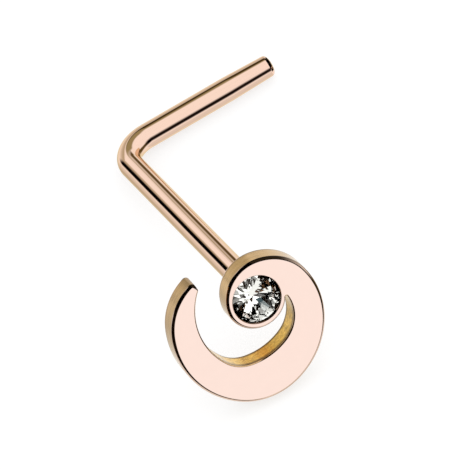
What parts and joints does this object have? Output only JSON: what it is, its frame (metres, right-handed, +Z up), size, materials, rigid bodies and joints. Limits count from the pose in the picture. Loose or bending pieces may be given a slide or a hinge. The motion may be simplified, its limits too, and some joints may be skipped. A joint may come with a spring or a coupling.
{
  "type": "nose stud",
  "caption": "L-shaped nose stud: a flat swirl plate with a round brilliant stone in its curl, on a thin post bent to a short leg.",
  "frame": {"origin": "centre of the bounding box, on the floor that the stud rests on", "axes": "+X along the leg, from the bend to its tip; -Y is the side that the swirl faces and +Y is the bend's side; +Z up"},
  "size_m": [0.0088, 0.0116, 0.0045],
  "materials": {
    "rose_gold": "polished rose gold plating over steel",
    "clear_stone": "clear faceted stone"
  },
  "bodies": {
    "root": {"stud": "rose_gold", "stone": "clear_stone"}
  },
  "joints": []
}
